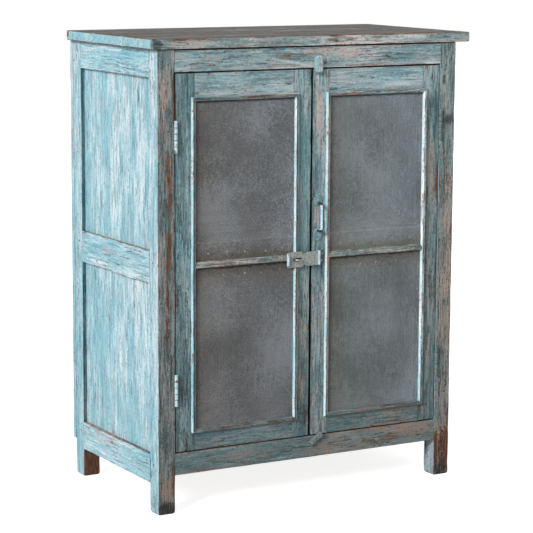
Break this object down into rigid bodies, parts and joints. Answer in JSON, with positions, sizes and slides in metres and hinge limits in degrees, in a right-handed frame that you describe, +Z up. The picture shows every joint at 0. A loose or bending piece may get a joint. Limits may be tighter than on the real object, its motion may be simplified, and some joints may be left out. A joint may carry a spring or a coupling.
{
  "type": "food cupboard",
  "caption": "Small free-standing painted wooden cupboard with two gauze-filled doors, a hasp and staple, a pull handle, turn buttons and a board top.",
  "frame": {"origin": "middle of the bounding box's base, on the floor", "axes": "+X to the right as seen from the front, +Y from the front to the back, +Z up"},
  "size_m": [0.9416, 0.537, 1.2],
  "materials": {
    "painted_wood": "matt, worn blue-green paint with bare streaks",
    "worn_top_wood": "matt, worn dark paint over bare boards",
    "inner_wood": "matt, bare aged wood",
    "painted_iron": "matt, worn blue-green paint",
    "bare_steel": "dull",
    "wire_gauze": "dull galvanised wire gauze"
  },
  "bodies": {
    "cabinet": {"back_boards": "inner_wood", "back_bottom_rail": "inner_wood", "back_top_rail": "inner_wood", "board_cleats": "inner_wood", "door_stops": "inner_wood", "floor_boards": "inner_wood", "front_bottom_rail": "painted_wood", "front_top_rail": "painted_wood", "hinge_pins": "painted_iron", "hinge_post_leaves": "painted_iron", "hinge_post_screws": "bare_steel", "joint_pegs": "inner_wood", "post_back_left": "painted_wood", "post_back_right": "painted_wood", "post_front_left": "painted_wood", "post_front_right": "painted_wood", "shelf_boards": "inner_wood", "side_left_bottom_rail": "painted_wood", "side_left_lower_panel": "painted_wood", "side_left_middle_rail": "painted_wood", "side_left_top_rail": "painted_wood", "side_left_upper_panel": "painted_wood", "side_right_bottom_rail": "painted_wood", "side_right_lower_panel": "painted_wood", "side_right_middle_rail": "painted_wood", "side_right_top_rail": "painted_wood", "side_right_upper_panel": "painted_wood", "top_board_back": "worn_top_wood", "top_board_front": "worn_top_wood", "top_board_middle": "worn_top_wood", "turn_button_screws": "bare_steel"},
    "door_left": {"door_left_beads": "painted_wood", "door_left_bottom_rail": "painted_wood", "door_left_gauze": "wire_gauze", "door_left_hinge_leaves": "painted_iron", "door_left_hinge_screws": "bare_steel", "door_left_hinge_stile": "painted_wood", "door_left_lock_stile": "painted_wood", "door_left_middle_rail": "painted_wood", "door_left_top_rail": "painted_wood", "staple": "bare_steel"},
    "door_right": {"door_right_beads": "painted_wood", "door_right_bottom_rail": "painted_wood", "door_right_fitting_screws": "bare_steel", "door_right_gauze": "wire_gauze", "door_right_hinge_leaves": "painted_iron", "door_right_hinge_screws": "bare_steel", "door_right_hinge_stile": "painted_wood", "door_right_lock_stile": "painted_wood", "door_right_middle_rail": "painted_wood", "door_right_top_rail": "painted_wood", "hasp_plate": "painted_iron", "pull_handle": "painted_iron"},
    "hasp": {"hasp_pin": "painted_iron", "hasp_strap": "painted_iron"},
    "turn_button_top": {"turn_button_top": "painted_wood"},
    "turn_button_bottom": {"turn_button_bottom": "painted_wood"}
  },
  "joints": [
    {"name": "door_left_hinge", "type": "hinge", "parent": "cabinet", "child": "door_left", "pos_m": [-0.40675, -0.24685, 0.64], "axis": [0, 0, -1], "range_deg": [0, 170]},
    {"name": "door_right_hinge", "type": "hinge", "parent": "cabinet", "child": "door_right", "pos_m": [0.38025, -0.24685, 0.64], "axis": [0, 0, 1], "range_deg": [0, 170]},
    {"name": "hasp_hinge", "type": "hinge", "parent": "door_right", "child": "hasp", "pos_m": [0.00625, -0.2489, 0.629], "axis": [0, 0, 1], "range_deg": [0, 150]},
    {"name": "turn_button_top_pivot", "type": "hinge", "parent": "cabinet", "child": "turn_button_top", "pos_m": [0.00185, -0.2491, 1.127], "axis": [0, -1, 0], "range_deg": [-90, 90]},
    {"name": "turn_button_bottom_pivot", "type": "hinge", "parent": "cabinet", "child": "turn_button_bottom", "pos_m": [-0.01075, -0.2471, 0.139], "axis": [0, -1, 0], "range_deg": [-124, 60]}
  ]
}
